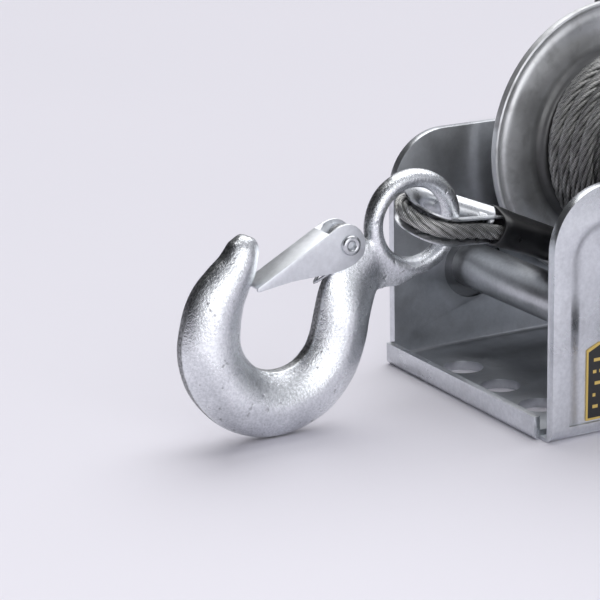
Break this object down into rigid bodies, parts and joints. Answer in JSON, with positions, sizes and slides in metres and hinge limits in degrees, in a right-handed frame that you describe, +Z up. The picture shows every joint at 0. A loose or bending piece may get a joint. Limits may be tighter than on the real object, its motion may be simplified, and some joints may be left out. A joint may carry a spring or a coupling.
{
  "type": "boat trailer winch",
  "caption": "Hand winch with a bent steel frame, geared rope drum, ratchet and crank, and a wire rope ending in a forged eye hook with a spring latch.",
  "frame": {"origin": "middle hole of the base's front row, at the base's underside", "axes": "+X along the drum's axle towards the crank, -Y the way the rope pays out, +Z up from the base"},
  "size_m": [0.2301, 0.3875, 0.142],
  "materials": {
    "plated_sheet": "bright zinc plate on rolled sheet",
    "plated_hardware": "zinc-plated turned and headed parts",
    "plated_steel": "zinc-plated cut steel",
    "forged_zinc": "zinc plate over a blasted forging",
    "wire_rope": "galvanised stranded wire",
    "plated_thimble": "bright pressed sheet",
    "ferrule_alloy": "pressed ferrule, dull",
    "black_sleeve": "satin shrunk sleeve",
    "bush_plastic": "moulded, self-lubricating",
    "grip_plastic": "moulded grip",
    "label_film": "printed film, black with a gold border",
    "spring_wire": "drawn spring wire"
  },
  "bodies": {
    "winch_frame": {"frame": "plated_sheet", "tie_tube": "plated_sheet", "tie_bolt": "plated_hardware", "tie_nut": "plated_hardware", "axle_bolt": "plated_hardware", "axle_nut": "plated_hardware", "axle_spacer": "plated_hardware", "left_shaft_bush": "bush_plastic", "right_shaft_bush": "bush_plastic", "pawl_rivet": "plated_hardware", "pawl_spring": "spring_wire", "label_plate": "label_film", "rope_lead": "wire_rope", "thimble": "plated_thimble", "ferrule": "ferrule_alloy", "eye_sleeve": "black_sleeve"},
    "drum": {"drum_hub": "plated_hardware", "left_drum_bush": "bush_plastic", "right_drum_bush": "bush_plastic", "left_flange": "plated_sheet", "right_flange": "plated_sheet", "drum_gear": "plated_steel", "gear_rivets": "plated_hardware", "rope_clamp": "plated_sheet", "rope_clamp_screw": "plated_hardware", "rope_winding": "wire_rope"},
    "crank": {"pinion_shaft": "plated_steel", "pinion_gear": "plated_steel", "ratchet_wheel": "plated_steel", "shaft_spacer": "plated_hardware", "shaft_ring": "plated_hardware", "crank_spacer": "plated_hardware", "crank_arm": "plated_steel", "crank_washer": "plated_hardware", "crank_nut": "plated_hardware", "grip_spindle": "plated_hardware"},
    "grip": {"handle_grip": "grip_plastic"},
    "pawl": {"ratchet_pawl": "plated_steel"},
    "hook_body": {"hook": "forged_zinc", "latch_rivet": "plated_hardware", "latch_spring": "spring_wire"},
    "latch": {"safety_latch": "plated_sheet"}
  },
  "joints": [
    {"name": "drum_turn", "type": "hinge", "parent": "winch_frame", "child": "drum", "pos_m": [0, 0.0683, 0.066], "axis": [1, 0, 0], "continuous": true},
    {"name": "crank_turn", "type": "hinge", "parent": "winch_frame", "child": "crank", "pos_m": [0, 0.10143, 0.12337], "axis": [1, 0, 0], "continuous": true},
    {"name": "grip_spin", "type": "hinge", "parent": "crank", "child": "grip", "pos_m": [0.115, 0.26143, 0.12337], "axis": [1, 0, 0], "continuous": true},
    {"name": "pawl_flip", "type": "hinge", "parent": "winch_frame", "child": "pawl", "pos_m": [-0.038, 0.11883, 0.10267], "axis": [1, 0, 0], "range_deg": [-35, 0]},
    {"name": "hook_swing", "type": "hinge", "parent": "winch_frame", "child": "hook_body", "pos_m": [-0.0035, -0.0296, 0.0591], "axis": [1, 0, 0], "range_deg": [-75, 25]},
    {"name": "latch_swing", "type": "hinge", "parent": "hook_body", "child": "latch", "pos_m": [-0.0035, -0.0536, 0.0565], "axis": [1, 0, 0], "range_deg": [0, 30], "stiffness_Nm_per_rad": 0.05, "springref_deg": -20.05}
  ],
  "couplings": [
    {"joint": "crank_turn", "follows": "drum_turn", "ratio": -3.4167}
  ]
}
